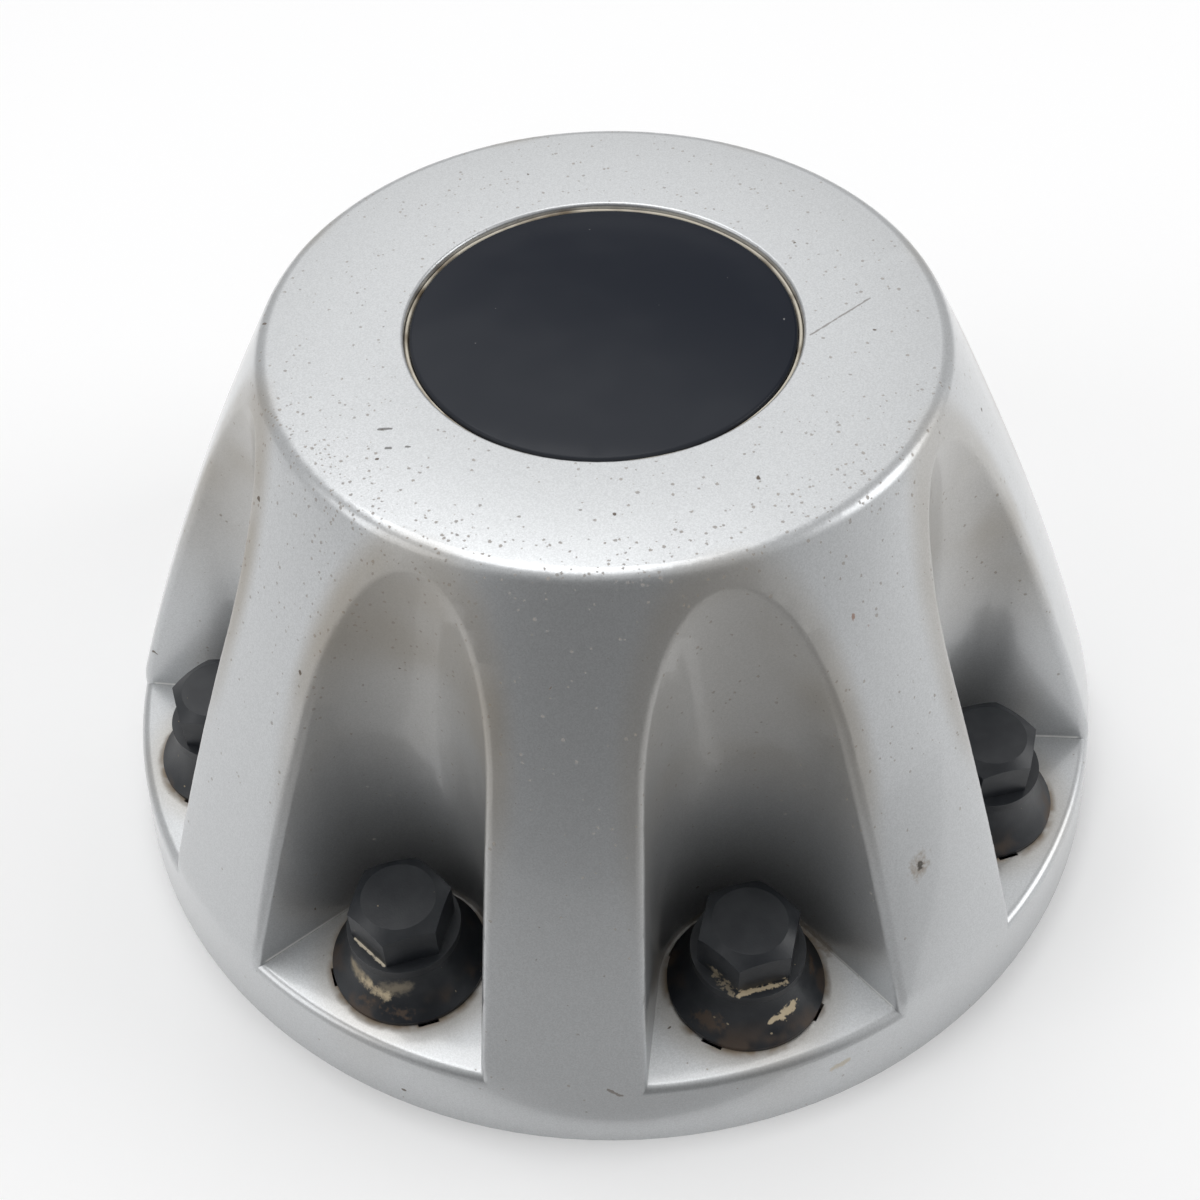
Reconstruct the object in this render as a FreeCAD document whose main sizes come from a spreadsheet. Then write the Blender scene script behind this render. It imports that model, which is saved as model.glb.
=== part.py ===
# Wheel center cap: a moulded shell with eight wrench pockets, a black center disc
# and eight captive screw-on lug nut covers. Millimetres, base rim on z = 0, wheel axis on Z.
import FreeCAD, Part
import math
import os

import Sketcher

os.makedirs("parts", exist_ok=True)
doc = FreeCAD.newDocument("wheel_center_cap")

# Driving dimensions, in the order they appear on a drawing
driving = [
    ("lug_circle", 105.0, "radius of the lug circle"),
    ("lug_count", 8.0, "lugs on the circle"),
    ("cap_height", 137.0, "rim to top face"),
    ("rim_margin", 26.0, "outer edge of the rim outside the lug circle"),
    ("top_inset", 27.4, "edge of the top face inside the lug circle, before rounding"),
    ("skirt_inset", 2.6, "turn from the steep skirt into the flank, inside the rim's edge"),
    ("skirt_step", 2.9, "height of that turn above the pocket floors"),
    ("flank_bulge", 846.0, "radius of the slightly barrelled flank"),
    ("skirt_blend", 25.0, "rounding between skirt and flank"),
    ("top_round", 4.0, "rounding of the top edge"),
    ("wall", 3.0, "moulded wall, floors and top"),
    ("flank_wall", 3.3, "flank wall measured level"),
    ("floor_height", 19.6, "pocket floor above the rim"),
    ("floor_lip", 2.6, "rounding of the outer edge of the pocket floors"),
    ("pocket_offset", 1.3, "pocket centre outside the lug circle"),
    ("pocket_radius", 20.9, "pocket back wall at the floor"),
    ("pocket_flare", 24.0, "angle of each pocket side to the pocket's middle line, degrees"),
    ("pocket_draft", 2.5, "draft of the pocket walls, degrees"),
    ("pocket_round", 2.5, "rounding of the pocket's mouth"),
    ("recess_radius", 45.1, "recess for the disc"),
    ("recess_depth", 4.0, "recess floor below the top face"),
    ("recess_round", 0.8, "rounding of the recess rim"),
    ("disc_gap", 1.2, "open ring between the disc and its recess"),
    ("disc_side", 3.1, "straight side of the disc"),
    ("disc_crown", 1.2, "rise of the domed face above that side"),
    ("disc_round", 1.0, "rounding of the disc's edge"),
    ("flange_radius", 18.6, "rim of a cover's skirt"),
    ("flange_rim", 1.2, "thickness of that rim"),
    ("skirt_hollow", 20.0, "radius of the skirt's hollow sweep"),
    ("skirt_top_radius", 12.9, "skirt radius under the collar"),
    ("collar_radius", 13.4, "round collar under the hexagon"),
    ("collar_low", 13.0, "lower edge of the collar above the pocket floor"),
    ("collar_high", 15.5, "upper edge of the collar"),
    ("hex_flats", 21.2, "hexagon across flats"),
    ("hex_top", 26.6, "top of the hexagon above the pocket floor"),
    ("crown_radius", 8.7, "round flat on the hexagon's top"),
    ("crown_slope", 31.0, "slope of the hexagon's chamfer, degrees"),
    ("thread_radius", 12.5, "crest radius of the screw bore"),
    ("thread_top", 5.0, "end of the screw bore above the pocket floor"),
    ("hollow_radius", 8.0, "hollow of the hexagon"),
    ("roof", 3.0, "roof over that hollow"),
    ("neck_radius", 14.6, "neck that turns in the floor hole"),
    ("neck_play", 0.3, "clearance round the neck"),
    ("turn_play", 0.2, "clearance between a cover and either side of the floor"),
    ("lip_radius", 15.9, "snap lip under the floor"),
    ("lip_height", 1.7, "straight side of the snap lip"),
    ("neck_end", 8.0, "lower end of the neck below the pocket floor"),
    ("lead_in", 1.9, "taper of the lip's lower side, level"),
    ("slot_reach", 19.1, "ends of the four slots at each floor hole"),
    ("slot_width", 5.0, "width of those slots"),
    ("cover_turn_1", 5.0, "each cover stands at its own turn, degrees"),
    ("cover_turn_2", 47.0, ""),
    ("cover_turn_3", 21.0, ""),
    ("cover_turn_4", 38.0, ""),
    ("cover_turn_5", 32.0, ""),
    ("cover_turn_6", 14.0, ""),
    ("cover_turn_7", 29.0, ""),
    ("cover_turn_8", 42.0, ""),
]

sheet = doc.addObject("Spreadsheet::Sheet", "sizes")
for row, (alias, number, note) in enumerate(driving, start=1):
    sheet.set("A%d" % row, alias)
    sheet.set("B%d" % row, str(number))
    sheet.setAlias("B%d" % row, alias)
    sheet.set("C%d" % row, note)
doc.recompute()


class Size:
    # A dimension that carries its number and the sheet formula it comes from
    def __init__(self, number, formula):
        self.number = number
        self.formula = formula

    def join(self, sign, other, number):
        return Size(number, "(%s %s %s)" % (self.formula, sign, other.formula))

    def __add__(self, other):
        return self.join("+", other, self.number + other.number)

    def __sub__(self, other):
        return self.join("-", other, self.number - other.number)

    def __mul__(self, other):
        return self.join("*", other, self.number * other.number)

    def __truediv__(self, other):
        return self.join("/", other, self.number / other.number)

    def __neg__(self):
        return Size(-self.number, "(-%s)" % self.formula)


def size(alias):
    return Size(sheet.get(alias), "sizes.%s" % alias)


def plain(number):
    return Size(number, "%g" % number)


def trig(name, angle):
    value = getattr(math, name)(math.radians(angle.number))
    return Size(value, "%s(%s * 1 deg)" % (name, angle.formula))


def root(value):
    return Size(math.sqrt(value.number), "sqrt(%s)" % value.formula)


zero = plain(0.0)
one = plain(1.0)
two = plain(2.0)


def bind(feature, prop, value):
    setattr(feature, prop, value.number)
    feature.setExpression(prop, value.formula)


def origin_plane(body, role):
    return next(item for item in body.Origin.OriginFeatures if item.Role == role)


def new_body(label):
    body = doc.addObject("PartDesign::Body", label)
    body.Label = label
    return body


def arc_segment(first, last, radius):
    # An arc from first to last; a positive radius has its centre left of that direction
    chord = last - first
    side = FreeCAD.Vector(-chord.y, chord.x, 0).normalize()
    depth = math.sqrt(radius * radius - chord.Length * chord.Length / 4)
    centre = (first + last) * 0.5 + side * math.copysign(depth, radius)
    start, end = (first, last) if radius > 0 else (last, first)
    angles = [math.atan2(spot.y - centre.y, spot.x - centre.x) for spot in (start, end)]
    circle = Part.Circle(centre, FreeCAD.Vector(0, 0, 1), abs(radius))
    return Part.ArcOfCircle(circle, angles[0], angles[1])


def outline(body, name, role, corners, height=None):
    # A closed sketch: each corner is (across, up) or (across, up, radius of the arc that leaves it)
    sketch = body.newObject("Sketcher::SketchObject", name)
    sketch.AttachmentSupport = (origin_plane(body, role), [""])
    sketch.MapMode = "FlatFace"
    if height is not None:
        sketch.AttachmentOffset.Base.z = height.number
        sketch.setExpression("AttachmentOffset.Base.z", height.formula)
    spots = [FreeCAD.Vector(corner[0].number, corner[1].number, 0) for corner in corners]
    ends = []
    for index, corner in enumerate(corners):
        first, last = spots[index], spots[(index + 1) % len(spots)]
        if len(corner) == 3:
            sketch.addGeometry(arc_segment(first, last, corner[2].number))
            ends.append((1, 2) if corner[2].number > 0 else (2, 1))
        else:
            sketch.addGeometry(Part.LineSegment(first, last))
            ends.append((1, 2))
    for index, corner in enumerate(corners):
        after = (index + 1) % len(corners)
        sketch.addConstraint(
            Sketcher.Constraint("Coincident", index, ends[index][1], after, ends[after][0])
        )
        for kind, value in (("DistanceX", corner[0]), ("DistanceY", corner[1])):
            number = sketch.addConstraint(
                Sketcher.Constraint(kind, -1, 1, index, ends[index][0], value.number)
            )
            sketch.setExpression("Constraints[%d]" % number, value.formula)
        if len(corner) == 3:
            radius = corner[2] if corner[2].number > 0 else -corner[2]
            number = sketch.addConstraint(Sketcher.Constraint("Radius", index, radius.number))
            sketch.setExpression("Constraints[%d]" % number, radius.formula)
    return sketch


def ring(body, name, centre, radius, height):
    # A full circle sketched level, at a height, round a point on the X axis
    sketch = body.newObject("Sketcher::SketchObject", name)
    sketch.AttachmentSupport = (origin_plane(body, "XY_Plane"), [""])
    sketch.MapMode = "FlatFace"
    sketch.AttachmentOffset.Base.z = height.number
    sketch.setExpression("AttachmentOffset.Base.z", height.formula)
    middle = FreeCAD.Vector(centre.number, 0, 0)
    sketch.addGeometry(Part.Circle(middle, FreeCAD.Vector(0, 0, 1), radius.number))
    sketch.addConstraint(Sketcher.Constraint("PointOnObject", 0, 3, -1))
    across = sketch.addConstraint(Sketcher.Constraint("DistanceX", -1, 1, 0, 3, centre.number))
    sketch.setExpression("Constraints[%d]" % across, centre.formula)
    round_size = sketch.addConstraint(Sketcher.Constraint("Radius", 0, radius.number))
    sketch.setExpression("Constraints[%d]" % round_size, radius.formula)
    return sketch


def turned(body, name, kind, sketch):
    feature = body.newObject("PartDesign::" + kind, name)
    feature.Profile = sketch
    feature.ReferenceAxis = (sketch, ["V_Axis"])
    feature.Angle = 360
    doc.recompute()
    return feature


def drawn_out(body, name, kind, sketch, length, up, draft=None):
    # A pad or pocket of a level sketch, upwards or downwards, with a widening draft
    feature = body.newObject("PartDesign::" + kind, name)
    feature.Profile = sketch
    bind(feature, "Length", length)
    feature.Reversed = up if kind == "Pocket" else not up
    if draft is not None:
        bind(feature, "TaperAngle", draft)
    doc.recompute()
    return feature


def round_the_wheel(body, name, features):
    pattern = body.newObject("PartDesign::PolarPattern", name)
    pattern.Originals = features
    pattern.Axis = (origin_axis(body), [""])
    pattern.Angle = 360
    pattern.Occurrences = int(size("lug_count").number)
    pattern.setExpression("Occurrences", size("lug_count").formula)
    body.Tip = pattern
    doc.recompute()
    return pattern


def origin_axis(body):
    return next(item for item in body.Origin.OriginFeatures if item.Role == "Z_Axis")


def rounded(body, name, base, radius, wanted):
    # A fillet on every edge of the base that the test accepts
    edges = ["Edge%d" % number for number, edge in enumerate(base.Shape.Edges, 1) if wanted(edge)]
    feature = body.newObject("PartDesign::Fillet", name)
    feature.Base = (base, edges)
    bind(feature, "Radius", radius)
    doc.recompute()
    return feature


def level_circle(radius, height):
    # True for a full circle about the wheel axis of that radius at that height
    def test(edge):
        if edge.Degenerated or not isinstance(edge.Curve, Part.Circle):
            return False
        curve = edge.Curve
        reach = math.hypot(curve.Center.x, curve.Center.y)
        near = abs(curve.Radius - radius.number) < 0.01 and abs(curve.Center.z - height.number) < 0.01
        return near and reach < 0.01
    return test


# Shared positions
base_radius = size("lug_circle") + size("rim_margin")
top_radius = size("lug_circle") - size("top_inset")
skirt_radius = base_radius - size("skirt_inset")
floor_under = size("floor_height") - size("wall")
skirt_height = size("floor_height") + size("skirt_step")
pocket_centre = size("lug_circle") + size("pocket_offset")
recess_floor = size("cap_height") - size("recess_depth")
draft_rate = trig("tan", size("pocket_draft"))
past_rim = base_radius + size("pocket_radius")


def pocket_outline(body, name, start, grown):
    # The pocket's plan at height start, wider all round by grown: a round back and two flared sides
    radius = size("pocket_radius") + grown + (start - size("floor_height")) * draft_rate
    touch_in = pocket_centre - radius * trig("sin", size("pocket_flare"))
    touch_side = radius * trig("cos", size("pocket_flare"))
    side_end = touch_side + (past_rim - touch_in) * trig("tan", size("pocket_flare"))
    corners = [
        (past_rim, -side_end),
        (past_rim, side_end),
        (touch_in, touch_side, radius),
        (touch_in, -touch_side),
    ]
    return outline(body, name, "XY_Plane", corners, start)


# Outside of the shell, still solid
outside = new_body("shell_outside")
outside_profile = outline(outside, "outside_profile", "XZ_Plane", [
    (zero, zero),
    (base_radius, zero),
    (skirt_radius, skirt_height, size("flank_bulge")),
    (top_radius, size("cap_height")),
    (size("recess_radius"), size("cap_height")),
    (size("recess_radius"), recess_floor),
    (zero, recess_floor),
])
outside_turned = turned(outside, "outside_turned", "Revolution", outside_profile)
outside_blend = rounded(outside, "skirt_blended", outside_turned, size("skirt_blend"),
                        level_circle(skirt_radius, skirt_height))
outside_edge = rounded(outside, "top_edge_rounded", outside_blend, size("top_round"),
                       level_circle(top_radius, size("cap_height")))
recess_rim = rounded(outside, "recess_rim_rounded", outside_edge, size("recess_round"),
                     level_circle(size("recess_radius"), size("cap_height")))

# Pockets run down through the rim first, so that their mouths round off in one sweep
pocket_start = -size("wall")
pocket_plan = pocket_outline(outside, "pocket_plan", pocket_start, zero)
pocket = drawn_out(outside, "pocket", "Pocket", pocket_plan,
                   size("cap_height") + size("wall") * two, True, size("pocket_draft"))
pockets = round_the_wheel(outside, "pockets", [pocket])

whole_skin = Part.Compound(recess_rim.Shape.Faces)


def mouth_edge(edge):
    # True where a pocket wall meets the outside of the shell: on the old skin, climbing, no seam
    middle = edge.valueAt((edge.FirstParameter + edge.LastParameter) / 2)
    climbs = edge.BoundBox.ZLength > 0.1 * size("wall").number
    between = len(pockets.Shape.ancestorsOfType(edge, Part.Face)) == 2
    return climbs and between and Part.Vertex(middle).distToShape(whole_skin)[0] < 0.01


rounded(outside, "pocket_mouths_rounded", pockets, size("pocket_round"), mouth_edge)

# The floors of all pockets are one ring with a rounded outer edge
skirt_lean = size("skirt_inset") / skirt_height
skirt_run = root(one + skirt_lean * skirt_lean)
floor_edge = base_radius - size("floor_height") * skirt_lean
lip_setback = size("floor_lip") * (skirt_run - skirt_lean)
lip_drop = lip_setback / skirt_run
floor_ring = new_body("floor_ring")
floors_profile = outline(floor_ring, "floors_profile", "XZ_Plane", [
    (size("recess_radius"), zero),
    (base_radius, zero),
    (floor_edge + lip_drop * skirt_lean, size("floor_height") - lip_drop, size("floor_lip")),
    (floor_edge - lip_setback, size("floor_height")),
    (size("recess_radius"), size("floor_height")),
])
turned(floor_ring, "floors", "Revolution", floors_profile)

# Each floor has a round hole with four short slots that reach just past the cover's flange
diagonal = trig("cos", plain(45.0))
slot_along = size("slot_reach") * diagonal
slot_across = size("slot_width") / two * diagonal
hole_radius = size("neck_radius") + size("neck_play")
hole_depth = size("wall") * two


def slots(name, hand):
    # A bar across the hole at 45 degrees to the pocket's middle line, to the left or right hand
    ends = [
        (slot_along - slot_across, slot_along + slot_across),
        (-slot_along - slot_across, slot_across - slot_along),
        (slot_across - slot_along, -slot_along - slot_across),
        (slot_along + slot_across, slot_along - slot_across),
    ]
    corners = [(size("lug_circle") + across, up * plain(hand)) for across, up in ends]
    plan = outline(floor_ring, name + "_plan", "XY_Plane", corners, size("floor_height"))
    return drawn_out(floor_ring, name, "Pocket", plan, hole_depth, False)


hole_plan = ring(floor_ring, "floor_hole_plan", size("lug_circle"), hole_radius, size("floor_height"))
hole = drawn_out(floor_ring, "floor_hole", "Pocket", hole_plan, hole_depth, False)
left_slots = slots("left_slots", 1.0)
right_slots = slots("right_slots", -1.0)
round_the_wheel(floor_ring, "floor_holes", [hole, left_slots, right_slots])

# Hollow of the shell: the flank moved in by the wall, less each pocket grown by the wall
hollow = new_body("shell_hollow")
flank_lean = (skirt_radius - top_radius) / (size("cap_height") - skirt_height)
hollow_profile = outline(hollow, "hollow_profile", "XZ_Plane", [
    (zero, zero),
    (base_radius - size("flank_wall"), zero),
    (skirt_radius - size("flank_wall"), skirt_height, size("flank_bulge")),
    (top_radius - size("flank_wall") + size("wall") * flank_lean, size("cap_height") - size("wall")),
    (size("recess_radius") + size("wall"), size("cap_height") - size("wall")),
    (size("recess_radius") + size("wall"), recess_floor - size("wall")),
    (zero, recess_floor - size("wall")),
])
hollow_turned = turned(hollow, "hollow_turned", "Revolution", hollow_profile)
hollow_pocket_plan = pocket_outline(hollow, "hollow_pocket_plan", floor_under, size("wall"))
hollow_pocket = drawn_out(hollow, "hollow_pocket", "Pocket", hollow_pocket_plan,
                          size("cap_height"), True, size("pocket_draft"))
round_the_wheel(hollow, "hollow_pockets", [hollow_pocket])

moulding = doc.addObject("Part::Fuse", "shell_moulding")
moulding.Base = outside
moulding.Tool = floor_ring
shell = doc.addObject("Part::Cut", "cap_shell")
shell.Label = "cap_shell"
shell.Base = moulding
shell.Tool = hollow

# Center disc: a plain domed plate bonded into the recess
disc_radius = size("recess_radius") - size("disc_gap")
disc_edge = recess_floor + size("disc_side")
dome = (disc_radius * disc_radius + size("disc_crown") * size("disc_crown")) / (size("disc_crown") * two)
disc = new_body("center_disc")
disc_profile = outline(disc, "disc_profile", "XZ_Plane", [
    (zero, recess_floor),
    (disc_radius, recess_floor),
    (disc_radius, disc_edge, dome),
    (zero, disc_edge + size("disc_crown")),
])
disc_turned = turned(disc, "disc_turned", "Revolution", disc_profile)
rounded(disc, "disc_edge_rounded", disc_turned, size("disc_round"), level_circle(disc_radius, disc_edge))

# Lug nut covers: heights count from the pocket floor
lip_top = -(size("wall") + size("turn_play"))
rim_top = size("turn_play") + size("flange_rim")
hex_corner = size("hex_flats") / root(plain(3.0))
hex_half = size("hex_flats") / two
crown_drop = (size("hex_flats") - size("crown_radius")) * trig("tan", size("crown_slope"))
bore_shoulder = size("thread_top") + size("thread_radius") - size("hollow_radius")


def lug_nut_cover(index):
    # One cover at its place on the lug circle: skirt and neck, hexagon, chamfer and screw bore
    body = new_body("lug_nut_cover_%d" % (index + 1))
    skirt = outline(body, "skirt_profile", "XZ_Plane", [
        (zero, -size("neck_end")),
        (size("lip_radius") - size("lead_in"), -size("neck_end")),
        (size("lip_radius"), lip_top - size("lip_height")),
        (size("lip_radius"), lip_top),
        (size("neck_radius"), lip_top),
        (size("neck_radius"), size("turn_play")),
        (size("flange_radius"), size("turn_play")),
        (size("flange_radius"), rim_top, -size("skirt_hollow")),
        (size("skirt_top_radius"), size("collar_low")),
        (size("collar_radius"), size("collar_low")),
        (size("collar_radius"), size("collar_high")),
        (zero, size("collar_high")),
    ])
    turned(body, "skirt", "Revolution", skirt)
    hexagon = outline(body, "hexagon_plan", "XY_Plane", [
        (hex_corner, zero),
        (hex_corner / two, hex_half),
        (-hex_corner / two, hex_half),
        (-hex_corner, zero),
        (-hex_corner / two, -hex_half),
        (hex_corner / two, -hex_half),
    ], size("collar_low"))
    drawn_out(body, "hexagon", "Pad", hexagon, size("hex_top") - size("collar_low"), True)
    chamfer = outline(body, "chamfer_profile", "XZ_Plane", [
        (size("crown_radius"), size("hex_top")),
        (size("hex_flats"), size("hex_top") - crown_drop),
        (size("hex_flats"), size("hex_top")),
    ])
    turned(body, "chamfer", "Groove", chamfer)
    bore = outline(body, "bore_profile", "XZ_Plane", [
        (zero, -size("neck_end")),
        (size("thread_radius"), -size("neck_end")),
        (size("thread_radius"), size("thread_top")),
        (size("hollow_radius"), bore_shoulder),
        (size("hollow_radius"), size("hex_top") - size("roof")),
        (zero, size("hex_top") - size("roof")),
    ])
    turned(body, "screw_bore", "Groove", bore)
    place_cover(body, index)
    return body


def place_cover(body, index):
    # Stand a cover on its pocket floor, at its own turn
    step = plain(360.0) / size("lug_count") * plain(index)
    turn = step + size("cover_turn_%d" % (index % 8 + 1))
    spot = FreeCAD.Vector((size("lug_circle") * trig("cos", step)).number,
                          (size("lug_circle") * trig("sin", step)).number,
                          size("floor_height").number)
    body.Placement = FreeCAD.Placement(spot, FreeCAD.Rotation(FreeCAD.Vector(0, 0, 1), turn.number))
    body.setExpression("Placement.Base.x", (size("lug_circle") * trig("cos", step)).formula)
    body.setExpression("Placement.Base.y", (size("lug_circle") * trig("sin", step)).formula)
    body.setExpression("Placement.Base.z", size("floor_height").formula)
    body.setExpression("Placement.Rotation.Angle", turn.formula)


covers = [lug_nut_cover(index) for index in range(int(size("lug_count").number))]
doc.recompute()

# Nothing is written unless every feature worked and every piece is one sound solid
for item in doc.Objects:
    if "Invalid" in item.State or "Error" in item.State:
        raise RuntimeError("%s failed: %s" % (item.Label, item.State))
pieces = [shell, disc] + covers
for piece in pieces:
    shape = piece.Shape
    if shape.isNull() or not shape.isValid() or len(shape.Solids) != 1:
        raise RuntimeError("%s is not one sound solid" % piece.Label)
    shape.exportStep("parts/%s.step" % piece.Label)
    print(piece.Label, "%.1f cm3" % (shape.Volume / 1000), shape.BoundBox)
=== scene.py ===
import math

import bmesh
import bpy
from mathutils import Matrix, Vector


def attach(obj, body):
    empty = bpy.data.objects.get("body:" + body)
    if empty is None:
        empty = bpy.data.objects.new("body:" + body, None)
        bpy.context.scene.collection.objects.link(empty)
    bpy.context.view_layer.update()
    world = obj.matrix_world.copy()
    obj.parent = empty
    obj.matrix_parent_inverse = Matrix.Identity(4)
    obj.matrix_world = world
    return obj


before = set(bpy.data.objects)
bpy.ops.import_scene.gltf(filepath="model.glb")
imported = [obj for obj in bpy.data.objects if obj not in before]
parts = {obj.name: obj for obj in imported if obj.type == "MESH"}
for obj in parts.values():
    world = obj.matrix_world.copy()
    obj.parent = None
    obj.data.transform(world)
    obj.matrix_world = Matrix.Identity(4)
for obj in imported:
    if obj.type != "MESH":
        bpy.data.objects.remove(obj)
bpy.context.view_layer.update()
coverNames = sorted(name for name in parts if name.startswith("lug_nut_cover"))
print("frame loaded with", len(parts), "parts")


# small helpers for node trees
def put(tree, kind, feeds=None, **settings):
    made = tree.nodes.new(kind)
    for name, value in settings.items():
        setattr(made, name, value)
    for name, value in (feeds or {}).items():
        if isinstance(value, bpy.types.NodeSocket):
            tree.links.new(value, made.inputs[name])
        else:
            made.inputs[name].default_value = value
    return made


def maths(tree, operation, first, second=0.0, third=0.0, clamp=False):
    made = put(tree, "ShaderNodeMath", {0: first, 1: second, 2: third}, operation=operation, use_clamp=clamp)
    return made.outputs[0]


def vectorMaths(tree, operation, first, second=(0.0, 0.0, 0.0)):
    made = put(tree, "ShaderNodeVectorMath", {0: first, 1: second}, operation=operation)
    return made.outputs["Value" if operation in ("LENGTH", "DOT_PRODUCT", "DISTANCE") else "Vector"]


def remap(tree, value, fromLow, fromHigh, toLow=0.0, toHigh=1.0, smooth=True):
    feeds = {"Value": value, "From Min": fromLow, "From Max": fromHigh, "To Min": toLow, "To Max": toHigh}
    kind = "SMOOTHSTEP" if smooth else "LINEAR"
    return put(tree, "ShaderNodeMapRange", feeds, interpolation_type=kind).outputs["Result"]


def rise(tree, value, span):
    return remap(tree, value, span[0], span[1])


def fall(tree, value, span):
    return remap(tree, value, span[0], span[1], 1.0, 0.0)


def fade(tree, mask, low, high, full=1.0):
    return remap(tree, mask, 0.0, full, low, high, False)


def times(tree, first, *others):
    for other in others:
        first = maths(tree, "MULTIPLY", first, other)
    return first


def most(tree, first, *others):
    for other in others:
        first = maths(tree, "MAXIMUM", first, other)
    return first


def lengthOf(tree, first, second):
    return maths(tree, "SQRT", maths(tree, "ADD", times(tree, first, first), times(tree, second, second)))


def blendColour(tree, mask, under, over, how="MIX"):
    # a mix node's colours are its inputs 6 and 7, and output 2 is the mixed colour
    feeds = {0: mask, 6: under, 7: over}
    return put(tree, "ShaderNodeMix", feeds, data_type="RGBA", blend_type=how).outputs[2]


def startGroup(name, inputs, outputs):
    tree = bpy.data.node_groups.new(name, "ShaderNodeTree")
    for label, kind, value in inputs:
        socket = tree.interface.new_socket(label, in_out="INPUT", socket_type="NodeSocket" + kind)
        if value is not None:
            socket.default_value = value
    for label, kind in outputs:
        tree.interface.new_socket(label, in_out="OUTPUT", socket_type="NodeSocket" + kind)
    return tree, tree.nodes.new("NodeGroupInput").outputs, tree.nodes.new("NodeGroupOutput").inputs


def useGroup(tree, group, **feeds):
    return put(tree, "ShaderNodeGroup", feeds, node_tree=group).outputs


def addBump(tree, skin, height, strength, depth):
    bump = put(tree, "ShaderNodeBump", {"Height": height, "Strength": strength, "Distance": depth})
    tree.links.new(bump.outputs[0], skin["Normal"])


def addObject(name, data):
    made = bpy.data.objects.new(name, data)
    bpy.context.scene.collection.objects.link(made)
    return made


# effects shared by the materials
speckShape = {"bendRate": 2.7, "bend": 0.35, "sizeSpread": 2.5, "edge": 0.12}


def makeSpecks():
    tree, given, out = startGroup(
        "specks",
        [("Vector", "Vector", None), ("Spacing", "Float", 0.004), ("Size", "Float", 0.3),
         ("Share", "Float", 0.5)],
        [("Mask", "Float")],
    )
    spacing = put(tree, "ShaderNodeCombineXYZ", {axis: given["Spacing"] for axis in range(3)}).outputs[0]
    scaled = vectorMaths(tree, "DIVIDE", given["Vector"], spacing)
    bent = put(tree, "ShaderNodeTexNoise", {
        "Vector": scaled, "Scale": speckShape["bendRate"], "Detail": 0.0}).outputs["Color"]
    shift = put(tree, "ShaderNodeVectorMath", {0: bent, "Scale": speckShape["bend"]}, operation="SCALE")
    moved = vectorMaths(tree, "ADD", scaled, shift.outputs["Vector"])
    cells = put(tree, "ShaderNodeTexVoronoi", {"Vector": moved, "Scale": 1.0}).outputs
    dice = put(tree, "ShaderNodeSeparateColor", {0: cells["Color"]}).outputs
    chosen = maths(tree, "LESS_THAN", dice[0], given["Share"])
    spread = times(tree, maths(tree, "POWER", dice[1], speckShape["sizeSpread"]), given["Size"])
    inside = maths(tree, "SUBTRACT", spread, cells["Distance"])
    edge = maths(tree, "DIVIDE", inside, times(tree, given["Size"], speckShape["edge"]), clamp=True)
    tree.links.new(times(tree, edge, chosen), out["Mask"])
    return tree


blotchNoise = {"Detail": 2.0, "Roughness": 0.62}


def makeBlotches():
    tree, given, out = startGroup(
        "blotches",
        [("Vector", "Vector", None), ("Spacing", "Float", 0.03), ("From", "Float", 0.5),
         ("To", "Float", 0.7)],
        [("Mask", "Float")],
    )
    rate = maths(tree, "DIVIDE", 1.0, given["Spacing"])
    noise = put(tree, "ShaderNodeTexNoise", {"Vector": given["Vector"], "Scale": rate, **blotchNoise})
    tree.links.new(remap(tree, noise.outputs[0], given["From"], given["To"]), out["Mask"])
    return tree


smearShape = {"leastSquare": 1e-9, "noiseMiddle": 0.5, "pull": 4.0}


def makeSmear():
    # a ragged mark along a line from one point to another
    tree, given, out = startGroup(
        "smear",
        [("Vector", "Vector", None), ("From", "Vector", (0, 0, 0)), ("To", "Vector", (0, 0, 0)),
         ("Width", "Float", 0.002), ("Ragged", "Float", 0.5), ("Soft", "Float", 0.4),
         ("Noise", "Float", 0.5)],
        [("Mask", "Float")],
    )
    reach = vectorMaths(tree, "SUBTRACT", given["To"], given["From"])
    here = vectorMaths(tree, "SUBTRACT", given["Vector"], given["From"])
    square = most(tree, vectorMaths(tree, "DOT_PRODUCT", reach, reach), smearShape["leastSquare"])
    share = maths(tree, "DIVIDE", vectorMaths(tree, "DOT_PRODUCT", here, reach), square, clamp=True)
    along = put(tree, "ShaderNodeVectorMath", {0: reach, "Scale": share}, operation="SCALE").outputs["Vector"]
    away = vectorMaths(tree, "LENGTH", vectorMaths(tree, "SUBTRACT", here, along))
    ratio = maths(tree, "DIVIDE", away, given["Width"])
    swing = maths(tree, "SUBTRACT", given["Noise"], smearShape["noiseMiddle"])
    bent = maths(tree, "ADD", ratio, times(tree, swing, given["Ragged"], smearShape["pull"]))
    low = maths(tree, "SUBTRACT", 1.0, given["Soft"])
    tree.links.new(remap(tree, bent, low, 1.0, 1.0, 0.0), out["Mask"])
    return tree


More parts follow.
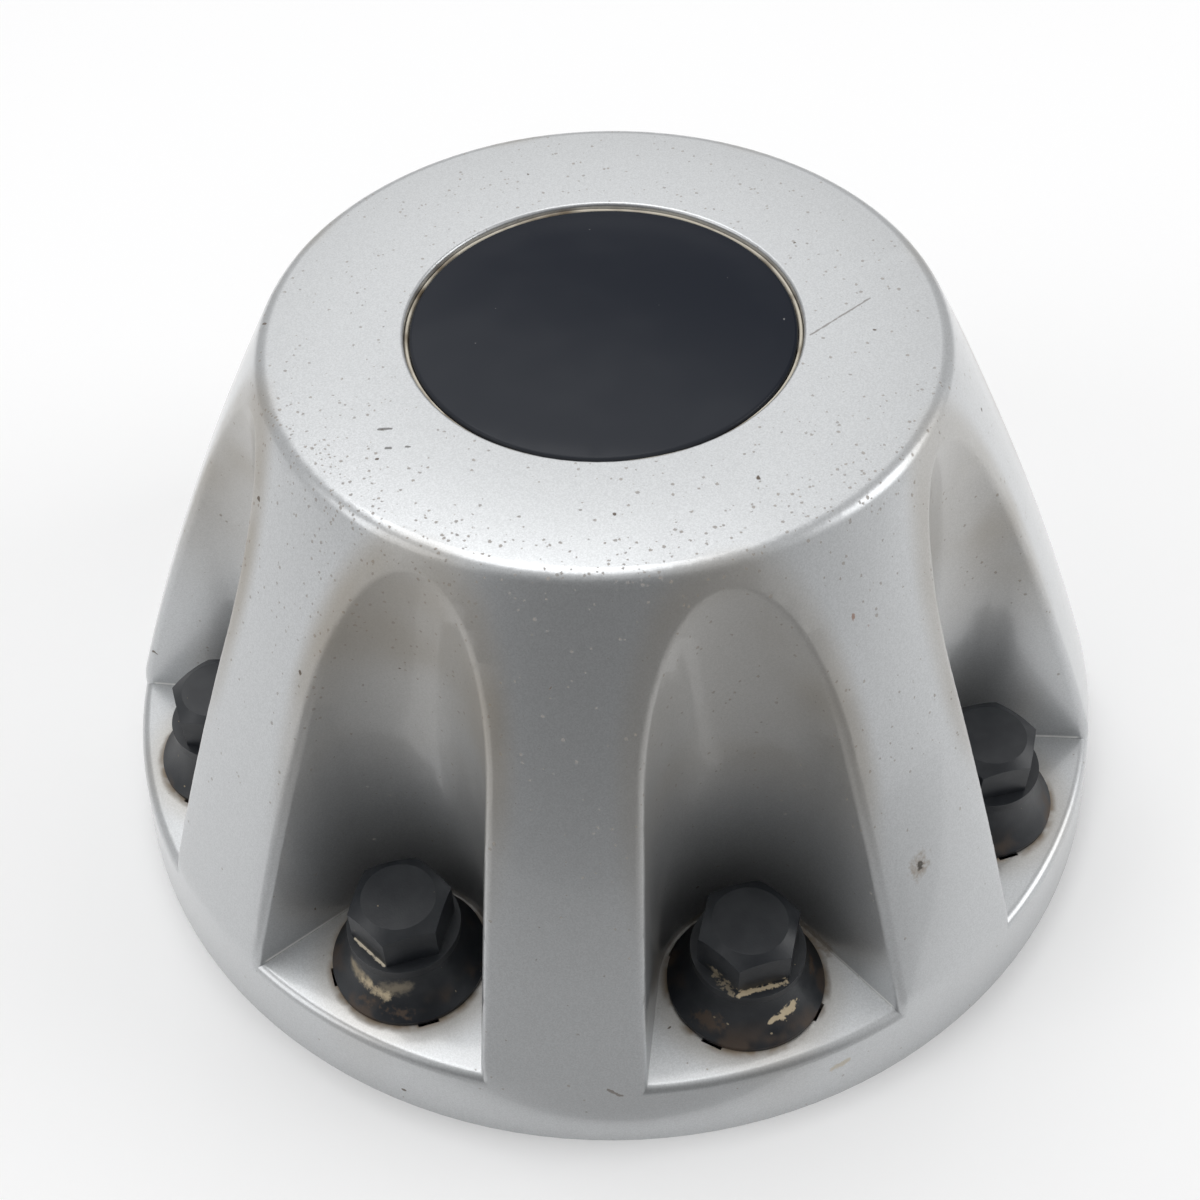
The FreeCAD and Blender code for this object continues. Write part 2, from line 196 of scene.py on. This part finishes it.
def makePocketPlace():
    # where a point lies: out along its pocket from the lug, away from the lug, up, and off the axis
    tree, given, out = startGroup(
        "pocketPlace",
        [("Vector", "Vector", None), ("Lug Circle", "Float", 0.105), ("Pockets", "Float", len(coverNames))],
        [("Along", "Float"), ("From Lug", "Float"), ("Height", "Float"), ("Radius", "Float")],
    )
    place = put(tree, "ShaderNodeSeparateXYZ", {0: given["Vector"]}).outputs
    radius = lengthOf(tree, place[0], place[1])
    bearing = maths(tree, "ARCTAN2", place[1], place[0])
    half = maths(tree, "DIVIDE", math.pi, given["Pockets"])
    turned = maths(tree, "WRAP", bearing, half, times(tree, half, -1.0))
    along = maths(tree, "SUBTRACT", times(tree, radius, maths(tree, "COSINE", turned)), given["Lug Circle"])
    across = times(tree, radius, maths(tree, "SINE", turned))
    reach = lengthOf(tree, along, across)
    for name, value in (("Along", along), ("From Lug", reach), ("Height", place[2]), ("Radius", radius)):
        tree.links.new(value, out[name])
    return tree


specks = makeSpecks()
blotches = makeBlotches()
smear = makeSmear()
pocketPlace = makePocketPlace()
print("effects made")


def newMaterial(name):
    material = bpy.data.materials.new(name)
    material.use_nodes = True
    tree = material.node_tree
    tree.nodes.clear()
    surface = tree.nodes.new("ShaderNodeBsdfPrincipled")
    output = tree.nodes.new("ShaderNodeOutputMaterial")
    tree.links.new(surface.outputs[0], output.inputs["Surface"])
    return material, surface.inputs


def objectPlace(tree):
    return put(tree, "ShaderNodeTexCoord").outputs["Object"]


def metres(spot):
    return tuple(number / 1000.0 for number in spot)


markNoise = {"Scale": 650.0, "Detail": 2.0, "Roughness": 0.7}


def addMarks(tree, place, colour, marks):
    # each mark is (from, to, width, raggedness, softness, strength, colour), lengths in millimetres
    masks = []
    noise = put(tree, "ShaderNodeTexNoise", {"Vector": place, **markNoise})
    for start, end, width, ragged, soft, strength, tint in marks:
        mask = useGroup(tree, smear, Vector=place, From=metres(start), To=metres(end), Width=width / 1000.0,
                        Ragged=ragged, Soft=soft, Noise=noise.outputs[0])["Mask"]
        masks.append(times(tree, mask, strength))
        colour = blendColour(tree, masks[-1], colour, tint)
    return colour, most(tree, *masks)


# silver paint of the shell
silverPaint = {
    "colour": (0.545, 0.558, 0.568, 1.0),
    "metallic": 0.72,
    "roughness": 0.37,
    "coat": 0.8,
    "coatRoughness": 0.07,
    "flakeSize": 0.00028,
    "flakeTone": (0.92, 1.07),
    "flakeBump": 0.06,
    "flakeDepth": 0.00006,
    "dirtRoughness": 0.8,
    "metalGone": 0.6,
    "coatGone": 0.7,
    "haze": (0.34, 0.29, 0.22, 1.0),
    # the grime colour also paints the shade in the gap round the disc
    "grime": (0.185, 0.122, 0.058, 1.0),
    "speck": (0.09, 0.062, 0.04, 1.0),
    "rust": (0.23, 0.09, 0.035, 1.0),
    "dark": (0.035, 0.028, 0.02, 1.0),
    "tan": (0.50, 0.43, 0.31, 1.0),
    # colour of the painted highlight line where the pocket walls meet the floors
    "highlightPale": (0.9, 0.9, 0.885, 1.0),
    # where dirt, the painted highlight line and the painted shade in the gap lie, in metres, and how strong
    # they are
    "pocketReach": (0.026, 0.032),
    "hazeHeight": (0.045, 0.105),
    "filmPatches": {"Spacing": 0.045, "From": 0.36, "To": 0.72},
    "hazeLeast": 0.5,
    "hazeStrength": 0.64,
    "hazeMatte": 0.35,
    "floorHeight": (0.0205, 0.0225),
    "ringReach": (0.0186, 0.0208),
    "ringStrength": 0.75,
    "clumpPatches": {"Spacing": 0.007, "From": 0.36, "To": 0.6},
    "stainReach": (0.0186, 0.027),
    "stainStrength": 0.38,
    "highlightLineLow": (0.01968, 0.0198),
    "highlightLineHigh": (0.0202, 0.0207),
    "highlightLineRadius": (0.1255, 0.1268),
    "highlightLineAlong": (-0.012, 0.006),
    "highlightLineLeast": 0.1,
    "highlightLineMatte": 0.6,
    "gapRadius": (0.0452, 0.0458),
    "gapHeight": (0.1335, 0.1362),
    "gapStrength": 0.3,
    "topEdge": (0.0745, 0.1345, 0.0),
    "topEdgeReach": (0.0, 0.013),
    "front": (-0.28, -0.96, 0.0),
    "frontReach": (-0.01, 0.06),
    "edgeShare": 0.95,
    "highShare": 0.24,
    "plainShare": 0.022,
    "filmlessShare": 0.4,
    "fine": {"Spacing": 0.00095, "Size": 0.5},
    "fineStrength": 0.46,
    "fineTint": (0.2, 0.8),
    "coarse": {"Spacing": 0.0052, "Size": 0.15, "Share": 0.22},
    "coarseStrength": 0.85,
}
silverMarks = [
    ((42.2, -19.3, 137.0), (59.9, -11.5, 137.0), 0.28, 0.5, 0.5, 0.55, silverPaint["speck"]),
    ((-55.6, -18.8, 137.0), (-53.2, -19.4, 137.0), 0.4, 0.6, 0.4, 0.65, silverPaint["dark"]),
    ((-55.4, -25.0, 137.0), (-54.6, -25.4, 137.0), 0.4, 0.6, 0.4, 0.65, silverPaint["dark"]),
    ((-51.2, -25.9, 137.0), (-50.6, -26.1, 137.0), 0.35, 0.6, 0.4, 0.65, silverPaint["dark"]),
    ((38.5, -108.9, 57.0), (38.5, -108.9, 55.0), 3.4, 0.5, 0.9, 0.6, silverPaint["grime"]),
    ((38.5, -108.9, 56.6), (38.5, -108.9, 55.8), 1.2, 0.5, 0.5, 0.85, silverPaint["dark"]),
    ((-39.4, -122.4, 21.0), (-36.8, -123.4, 18.6), 0.6, 0.6, 0.4, 0.75, silverPaint["speck"]),
    ((13.0, -128.9, 11.4), (17.0, -128.4, 12.6), 1.0, 0.7, 0.5, 0.6, silverPaint["tan"]),
    ((29.2, -82.2, 121.0), (28.8, -82.6, 119.6), 0.6, 0.7, 0.4, 0.8, silverPaint["rust"]),
    ((27.4, -83.4, 117.4), (27.2, -83.6, 116.2), 0.5, 0.7, 0.4, 0.7, silverPaint["rust"]),
    ((30.6, -83.8, 113.6), (30.5, -84.0, 112.8), 0.55, 0.7, 0.4, 0.75, silverPaint["rust"]),
    ((21.7, -103.4, 20.4), (16.0, -94.0, 20.2), 2.6, 0.5, 0.9, 0.55, silverPaint["grime"]),
]


def makeSilverPaint():
    material, skin = newMaterial("silverPaint")
    tree = material.node_tree
    place = objectPlace(tree)
    pocket = useGroup(tree, pocketPlace, Vector=place)
    grid = vectorMaths(tree, "SNAP", place, (silverPaint["flakeSize"],) * 3)
    flakes = put(tree, "ShaderNodeTexWhiteNoise", {"Vector": grid}).outputs["Color"]
    flakeDice = put(tree, "ShaderNodeSeparateColor", {0: flakes}).outputs
    flakeTone = fade(tree, flakeDice[0], *silverPaint["flakeTone"])
    colour = blendColour(tree, 1.0, silverPaint["colour"], flakeTone, "MULTIPLY")
    # warm road film high in the pockets
    inPocket = fall(tree, pocket["From Lug"], silverPaint["pocketReach"])
    high = rise(tree, pocket["Height"], silverPaint["hazeHeight"])
    film = useGroup(tree, blotches, Vector=place, **silverPaint["filmPatches"])["Mask"]
    spread = fade(tree, film, silverPaint["hazeLeast"], 1.0)
    haze = times(tree, inPocket, high, spread)
    colour = blendColour(tree, times(tree, haze, silverPaint["hazeStrength"]), colour, silverPaint["haze"])
    # brown ring of grime on the floors round each cover
    low = fall(tree, pocket["Height"], silverPaint["floorHeight"])
    nearCover = fall(tree, pocket["From Lug"], silverPaint["ringReach"])
    aroundCover = fall(tree, pocket["From Lug"], silverPaint["stainReach"])
    stain = times(tree, low, aroundCover, silverPaint["stainStrength"])
    colour = blendColour(tree, stain, colour, silverPaint["haze"])
    clumps = useGroup(tree, blotches, Vector=place, **silverPaint["clumpPatches"])["Mask"]
    ring = times(tree, low, nearCover, clumps)
    colour = blendColour(tree, times(tree, ring, silverPaint["ringStrength"]), colour, silverPaint["grime"])
    # painted highlight: a pale line where the pocket walls meet the floors, fainter towards the back of the
    # pocket
    jointHighlight = times(tree, rise(tree, pocket["Height"], silverPaint["highlightLineLow"]),
                  fall(tree, pocket["Height"], silverPaint["highlightLineHigh"]),
                  fall(tree, pocket["Radius"], silverPaint["highlightLineRadius"]),
                  remap(tree, pocket["Along"], *silverPaint["highlightLineAlong"], silverPaint["highlightLineLeast"], 1.0))
    colour = blendColour(tree, jointHighlight, colour, silverPaint["highlightPale"])
    # painted shade in the gap round the disc, in the grime colour
    gapShade = times(tree, fall(tree, pocket["Radius"], silverPaint["gapRadius"]),
                  fall(tree, pocket["Height"], silverPaint["gapHeight"]), silverPaint["gapStrength"])
    colour = blendColour(tree, gapShade, colour, silverPaint["grime"])
    # chips and specks, thickest along the front of the top edge and high in the pockets
    section = put(tree, "ShaderNodeCombineXYZ", {0: pocket["Radius"], 1: pocket["Height"]}).outputs[0]
    fromEdge = vectorMaths(tree, "DISTANCE", section, silverPaint["topEdge"])
    front = vectorMaths(tree, "DOT_PRODUCT", place, silverPaint["front"])
    topEdge = times(tree, fall(tree, fromEdge, silverPaint["topEdgeReach"]),
                    rise(tree, front, silverPaint["frontReach"]))
    zones = maths(tree, "ADD", times(tree, topEdge, silverPaint["edgeShare"]),
                  times(tree, high, silverPaint["highShare"]))
    share = times(tree, zones, maths(tree, "ADD", film, silverPaint["filmlessShare"]))
    share = maths(tree, "ADD", share, silverPaint["plainShare"])
    fine = useGroup(tree, specks, Vector=place, Share=share, **silverPaint["fine"])["Mask"]
    fine = times(tree, fine, silverPaint["fineStrength"])
    coarse = useGroup(tree, specks, Vector=place, **silverPaint["coarse"])["Mask"]
    brown = rise(tree, flakeDice[1], silverPaint["fineTint"])
    tint = blendColour(tree, brown, silverPaint["speck"], silverPaint["grime"])
    colour = blendColour(tree, fine, colour, tint)
    chips = times(tree, coarse, silverPaint["coarseStrength"])
    colour = blendColour(tree, chips, colour, silverPaint["speck"])
    colour, marks = addMarks(tree, place, colour, silverMarks)
    tree.links.new(colour, skin["Base Color"])
    # dirt is matte, without metal or clear coat; the painted highlight line only loses some metal
    dirt = most(tree, fine, coarse, marks, ring)
    matte = most(tree, dirt, times(tree, haze, silverPaint["hazeMatte"]))
    plain = most(tree, dirt, times(tree, jointHighlight, silverPaint["highlightLineMatte"]))
    roughness = fade(tree, matte, silverPaint["roughness"], silverPaint["dirtRoughness"])
    metallic = fade(tree, plain, silverPaint["metallic"], 0.0, silverPaint["metalGone"])
    coat = fade(tree, matte, silverPaint["coat"], 0.0, silverPaint["coatGone"])
    tree.links.new(roughness, skin["Roughness"])
    tree.links.new(metallic, skin["Metallic"])
    tree.links.new(coat, skin["Coat Weight"])
    skin["Coat Roughness"].default_value = silverPaint["coatRoughness"]
    addBump(tree, skin, flakeDice[2], silverPaint["flakeBump"], silverPaint["flakeDepth"])
    return material


# black gloss of the disc
discGloss = {
    "colour": (0.0035, 0.0062, 0.0135, 1.0),
    "roughness": 0.17,
    "specular": 0.085,
    "dustRoughness": 0.6,
    "dust": (0.22, 0.22, 0.22, 1.0),
    # the film colour also paints a sheen over the front of the disc
    "film": (0.036, 0.039, 0.046, 1.0),
    "front": (-0.6, -0.8, 0.0),
    "frontReach": (-0.03, 0.046),
    "sheenStrength": 0.85,
    "filmPatches": {"Spacing": 0.03, "From": 0.42, "To": 0.75},
    "filmStrength": 0.15,
    "filmWear": 0.12,
    "specks": {"Spacing": 0.0036, "Size": 0.11, "Share": 0.25},
    "speckStrength": 0.8,
}


def makeDiscGloss():
    material, skin = newMaterial("discGloss")
    tree = material.node_tree
    place = objectPlace(tree)
    film = useGroup(tree, blotches, Vector=place, **discGloss["filmPatches"])["Mask"]
    # painted sheen: the front of the disc is lightened towards the film colour, with real film in patches
    front = vectorMaths(tree, "DOT_PRODUCT", place, discGloss["front"])
    frontSheen = rise(tree, front, discGloss["frontReach"])
    filmAndSheen = maths(tree, "ADD", times(tree, film, discGloss["filmStrength"]),
                 times(tree, frontSheen, discGloss["sheenStrength"]))
    colour = blendColour(tree, filmAndSheen, discGloss["colour"], discGloss["film"])
    dust = useGroup(tree, specks, Vector=place, **discGloss["specks"])["Mask"]
    colour = blendColour(tree, times(tree, dust, discGloss["speckStrength"]), colour, discGloss["dust"])
    tree.links.new(colour, skin["Base Color"])
    worn = maths(tree, "ADD", times(tree, film, discGloss["filmWear"]), dust)
    roughness = fade(tree, worn, discGloss["roughness"], discGloss["dustRoughness"])
    tree.links.new(roughness, skin["Roughness"])
    skin["Specular IOR Level"].default_value = discGloss["specular"]
    return material


# matte black of the lug nut covers
coverBlack = {
    "colour": (0.0095, 0.0118, 0.0158, 1.0),
    "roughness": 0.4,
    "cream": (0.52, 0.43, 0.29, 1.0),
    "chalk": (0.68, 0.62, 0.5, 1.0),
    "brown": (0.11, 0.07, 0.042, 1.0),
    "grey": (0.12, 0.125, 0.13, 1.0),
    "dirtRoughness": 0.85,
    "cloudPatches": {"Spacing": 0.008, "From": 0.3, "To": 0.75},
    "cloudStrength": 0.12,
    "grimeHeight": (0.0205, 0.028),
    "grimePatches": {"Spacing": 0.009, "From": 0.46, "To": 0.66},
    "grimeStrength": 0.5,
    "specks": {"Spacing": 0.0022, "Size": 0.17, "Share": 0.22},
    "speckStrength": 0.45,
    "grain": {"Scale": 2200.0, "Detail": 1.0},
    "grainBump": 0.3,
    "grainDepth": 0.00008,
    "edge": 0.0003,
    "edgeAngle": 28.0,
    "edgeSegments": 2,
}
coverMarks = [
    ((-85.8, -75.3, 35.1), (-81.1, -84.2, 35.3), 0.55, 0.45, 0.5, 0.95, coverBlack["chalk"]),
    ((-88.1, -77.7, 28.6), (-85.6, -82.4, 27.8), 2.6, 0.35, 1.0, 0.5, coverBlack["cream"]),
    ((-86.0, -82.0, 27.4), (-82.1, -87.0, 26.2), 1.9, 0.5, 1.0, 0.85, coverBlack["cream"]),
    ((-82.6, -86.2, 28.0), (-77.6, -87.5, 29.1), 2.8, 0.3, 1.0, 0.32, coverBlack["cream"]),
    ((-86.5, -84.0, 22.5), (-78.0, -90.0, 22.0), 2.2, 0.9, 0.9, 0.55, coverBlack["brown"]),
    ((-6.6, -116.1, 35.1), (5.1, -116.4, 35.4), 0.75, 0.8, 0.6, 0.9, coverBlack["cream"]),
    ((0.2, -120.0, 25.9), (3.5, -119.4, 26.3), 0.8, 0.6, 0.5, 0.9, coverBlack["cream"]),
    ((3.5, -119.4, 26.3), (7.0, -118.0, 26.8), 1.5, 0.8, 0.5, 0.95, coverBlack["cream"]),
    ((-14.3, -113.1, 23.5), (-11.0, -115.5, 24.5), 2.6, 0.7, 0.8, 0.55, coverBlack["brown"]),
    ((-10.6, -109.0, 36.4), (-7.4, -115.2, 35.4), 1.1, 1.3, 0.7, 0.4, coverBlack["cream"]),
    ((14.4, -110.1, 25.3), (15.2, -107.5, 25.0), 2.2, 0.6, 0.9, 0.7, coverBlack["brown"]),
    ((84.6, -86.4, 26.0), (86.6, -85.4, 25.4), 0.6, 0.8, 0.7, 0.5, coverBlack["grey"]),
]


def makeCoverBlack():
    material, skin = newMaterial("coverBlack")
    tree = material.node_tree
    place = objectPlace(tree)
    pocket = useGroup(tree, pocketPlace, Vector=place)
    cloud = useGroup(tree, blotches, Vector=place, **coverBlack["cloudPatches"])["Mask"]
    cloud = times(tree, cloud, coverBlack["cloudStrength"])
    colour = blendColour(tree, cloud, coverBlack["colour"], coverBlack["grey"])
    # grime creeps up from the rim of the skirt
    low = fall(tree, pocket["Height"], coverBlack["grimeHeight"])
    clumps = useGroup(tree, blotches, Vector=place, **coverBlack["grimePatches"])["Mask"]
    grime = times(tree, low, clumps, coverBlack["grimeStrength"])
    colour = blendColour(tree, grime, colour, coverBlack["brown"])
    dust = useGroup(tree, specks, Vector=place, **coverBlack["specks"])["Mask"]
    colour = blendColour(tree, times(tree, dust, coverBlack["speckStrength"]), colour, coverBlack["cream"])
    colour, marks = addMarks(tree, place, colour, coverMarks)
    tree.links.new(colour, skin["Base Color"])
    worn = most(tree, marks, grime, dust)
    roughness = fade(tree, worn, coverBlack["roughness"], coverBlack["dirtRoughness"])
    tree.links.new(roughness, skin["Roughness"])
    grain = put(tree, "ShaderNodeTexNoise", {"Vector": place, **coverBlack["grain"]})
    addBump(tree, skin, grain.outputs[0], coverBlack["grainBump"], coverBlack["grainDepth"])
    return material


# cream adhesive that shows in the gap round the disc
adhesive = {
    "radius": 0.0445,
    "height": 0.1345,
    "halfWidth": 0.0005,
    "halfHeight": 0.0013,
    "swell": 0.14,
    "waves": (7, 3),
    "waveStart": 0.6,
    "around": 240,
    "section": 10,
    "colour": (0.64, 0.59, 0.49, 1.0),
    "dirt": (0.16, 0.12, 0.075, 1.0),
    "stainPatches": {"Spacing": 0.012, "From": 0.45, "To": 0.7},
    "roughness": (0.45, 0.8),
}


def makeAdhesive():
    bead = bmesh.new()
    around = adhesive["around"]
    section = adhesive["section"]
    quick, slow = adhesive["waves"]
    rings = []
    for step in range(around):
        bearing = 2 * math.pi * step / around
        wave = adhesive["swell"] * math.sin(quick * bearing + adhesive["waveStart"])
        swell = 1.0 + wave * math.sin(slow * bearing)
        loop = []
        for corner in range(section):
            slope = 2 * math.pi * corner / section
            out = adhesive["radius"] + adhesive["halfWidth"] * math.cos(slope)
            up = adhesive["height"] + adhesive["halfHeight"] * swell * math.sin(slope)
            loop.append(bead.verts.new((out * math.cos(bearing), out * math.sin(bearing), up)))
        rings.append(loop)
    for step in range(around):
        here = rings[step]
        after = rings[(step + 1) % around]
        for corner in range(section):
            nextCorner = (corner + 1) % section
            face = bead.faces.new((here[corner], after[corner], after[nextCorner], here[nextCorner]))
            face.smooth = True
    bmesh.ops.recalc_face_normals(bead, faces=bead.faces)
    mesh = bpy.data.meshes.new("adhesiveBead")
    bead.to_mesh(mesh)
    bead.free()
    piece = addObject("adhesiveBead", mesh)
    material, skin = newMaterial("adhesiveCream")
    tree = material.node_tree
    place = objectPlace(tree)
    stain = useGroup(tree, blotches, Vector=place, **adhesive["stainPatches"])["Mask"]
    tree.links.new(blendColour(tree, stain, adhesive["colour"], adhesive["dirt"]), skin["Base Color"])
    tree.links.new(fade(tree, stain, *adhesive["roughness"]), skin["Roughness"])
    mesh.materials.append(material)
    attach(piece, "cap")


def dress(part, material):
    part.data.materials.clear()
    part.data.materials.append(material)


# smooth shading up to a set angle, as a modifier so that the part's own mesh stays as it is
smoothing = {"mergeDistance": 0.000002, "angle": 24.0}


def makeSmoothSkin():
    tree = bpy.data.node_groups.new("smoothSkin", "GeometryNodeTree")
    tree.interface.new_socket("Geometry", in_out="INPUT", socket_type="NodeSocketGeometry")
    tree.interface.new_socket("Geometry", in_out="OUTPUT", socket_type="NodeSocketGeometry")
    given = tree.nodes.new("NodeGroupInput").outputs
    out = tree.nodes.new("NodeGroupOutput").inputs
    merged = put(tree, "GeometryNodeMergeByDistance", {
        "Geometry": given[0], "Distance": smoothing["mergeDistance"]})
    bare = put(tree, "GeometryNodeRemoveAttribute", {"Geometry": merged.outputs[0], "Name": "custom_normal"})
    angle = put(tree, "GeometryNodeInputMeshEdgeAngle").outputs[0]
    limit = math.radians(smoothing["angle"])
    gentle = put(tree, "FunctionNodeCompare", {0: angle, 1: limit}, operation="LESS_EQUAL")
    edges = put(tree, "GeometryNodeSetShadeSmooth", {0: bare.outputs[0], 2: gentle.outputs[0]}, domain="EDGE")
    faces = put(tree, "GeometryNodeSetShadeSmooth", {0: edges.outputs[0], 2: True}, domain="FACE")
    tree.links.new(faces.outputs[0], out[0])
    return tree


smoothSkin = makeSmoothSkin()
finishes = {"cap_shell": makeSilverPaint(), "center_disc": makeDiscGloss()}
black = makeCoverBlack()
for name, part in parts.items():
    dress(part, finishes.get(name, black))
    part.modifiers.new("smoothSkin", "NODES").node_group = smoothSkin
for name in coverNames:
    edge = parts[name].modifiers.new("moulded edges", "BEVEL")
    edge.width = coverBlack["edge"]
    edge.segments = coverBlack["edgeSegments"]
    edge.limit_method = "ANGLE"
    edge.angle_limit = math.radians(coverBlack["edgeAngle"])
    edge.harden_normals = True
makeAdhesive()
print("materials on")


# camera as in the photograph
shot = {
    "turn": -16.19,
    "height": 51.61,
    "distance": 0.4858,
    "yaw": 0.37,
    "pitch": 3.39,
    "roll": 1.61,
    "lens": 51.03,
    "sensor": 36.0,
    "clipStart": 0.01,
}


def setCamera():
    turn = math.radians(shot["turn"])
    height = math.radians(shot["height"])
    back = Vector((math.sin(turn) * math.cos(height), -math.cos(turn) * math.cos(height), math.sin(height)))
    right = Vector((math.cos(turn), math.sin(turn), 0.0))
    ahead = -back
    up = right.cross(ahead)
    aim = Matrix((right, up, ahead))
    yaw, pitch, roll = (math.radians(shot[name]) for name in ("yaw", "pitch", "roll"))
    yawTurn = Matrix.Rotation(yaw, 3, "Y")
    pitchTurn = Matrix.Rotation(pitch, 3, "X")
    rollTurn = Matrix.Rotation(roll, 3, "Z")
    aim = rollTurn @ pitchTurn @ yawTurn @ aim
    lens = bpy.data.cameras.new("camera")
    lens.lens = shot["lens"]
    lens.sensor_width = shot["sensor"]
    lens.clip_start = shot["clipStart"]
    camera = addObject("camera", lens)
    pose = Matrix((aim[0], aim[1], -aim[2])).transposed().to_4x4()
    pose.translation = back * shot["distance"]
    camera.matrix_world = pose
    bpy.context.scene.camera = camera


# plain studio: soft light from above and all sides, and grey flags in front for the paint to mirror
studio = {
    "floor": (0.96, 0.96, 0.962, 1.0),
    "floorHalf": 6.0,
    "floorRoughness": 0.9,
    "floorSpecular": 0.1,
    "flagRoughness": 1.0,
    "aim": (0.0, 0.0, 0.05),
    "world": (1.0, 1.0, 1.0, 1.0),
    "worldStrength": 0.49,
    "lamps": [
        {"name": "topLamp", "place": (-0.15, 0.35, 1.5), "size": 1.1, "power": 7.4},
        {"name": "backLamp", "place": (0.25, 1.05, 1.3), "size": 1.6, "power": 4.0},
        {"name": "rightLamp", "place": (1.2, -0.35, 0.7), "size": 0.8, "power": 4.6},
        {"name": "leftLamp", "place": (-1.2, -0.1, 0.8), "size": 0.8, "power": 3.0},
    ],
    "flags": [
        {"name": "frontFlag", "width": 0.72, "start": (0.46, 0.0), "end": (0.46, 0.62), "tone": 0.08},
        {"name": "frontMat", "width": 0.6, "start": (0.134, 0.003), "end": (0.46, 0.003), "tone": 0.45},
    ],
}


def hangFlags():
    # each flag spans two level edges, given as distance and height on the camera's side of the cap
    turn = math.radians(shot["turn"])
    out = Vector((math.sin(turn), -math.cos(turn), 0.0))
    side = Vector((math.cos(turn), math.sin(turn), 0.0))
    for flag in studio["flags"]:
        start = out * flag["start"][0] + Vector((0.0, 0.0, flag["start"][1]))
        end = out * flag["end"][0] + Vector((0.0, 0.0, flag["end"][1]))
        half = side * flag["width"] / 2
        mesh = bpy.data.meshes.new(flag["name"])
        mesh.from_pydata([start - half, start + half, end + half, end - half], [], [(0, 1, 2, 3)])
        panel = addObject(flag["name"], mesh)
        material, skin = newMaterial(flag["name"] + "Cloth")
        skin["Base Color"].default_value = (flag["tone"], flag["tone"], flag["tone"], 1.0)
        skin["Roughness"].default_value = studio["flagRoughness"]
        mesh.materials.append(material)
        # only mirrored in the paint: it neither shows nor throws a shadow
        panel.visible_camera = False
        panel.visible_diffuse = False
        panel.visible_shadow = False


def setStudio():
    mesh = bpy.data.meshes.new("floor")
    half = studio["floorHalf"]
    corners = [(-half, -half, 0), (half, -half, 0), (half, half, 0), (-half, half, 0)]
    mesh.from_pydata(corners, [], [(0, 1, 2, 3)])
    floor = addObject("floor", mesh)
    material, skin = newMaterial("floorPaper")
    skin["Base Color"].default_value = studio["floor"]
    skin["Roughness"].default_value = studio["floorRoughness"]
    skin["Specular IOR Level"].default_value = studio["floorSpecular"]
    mesh.materials.append(material)
    world = bpy.data.worlds.new("studio")
    world.use_nodes = True
    backdrop = world.node_tree.nodes["Background"].inputs
    backdrop["Color"].default_value = studio["world"]
    backdrop["Strength"].default_value = studio["worldStrength"]
    bpy.context.scene.world = world
    for lamp in studio["lamps"]:
        light = bpy.data.lights.new(lamp["name"], "AREA")
        light.shape = "DISK"
        light.size = lamp["size"]
        light.energy = lamp["power"]
        stand = addObject(lamp["name"], light)
        stand.location = lamp["place"]
        ahead = Vector(studio["aim"]) - Vector(lamp["place"])
        stand.rotation_euler = ahead.to_track_quat("-Z", "Y").to_euler()


setCamera()
setStudio()
hangFlags()
bpy.context.scene.view_settings.view_transform = "Standard"
print("camera and studio set")
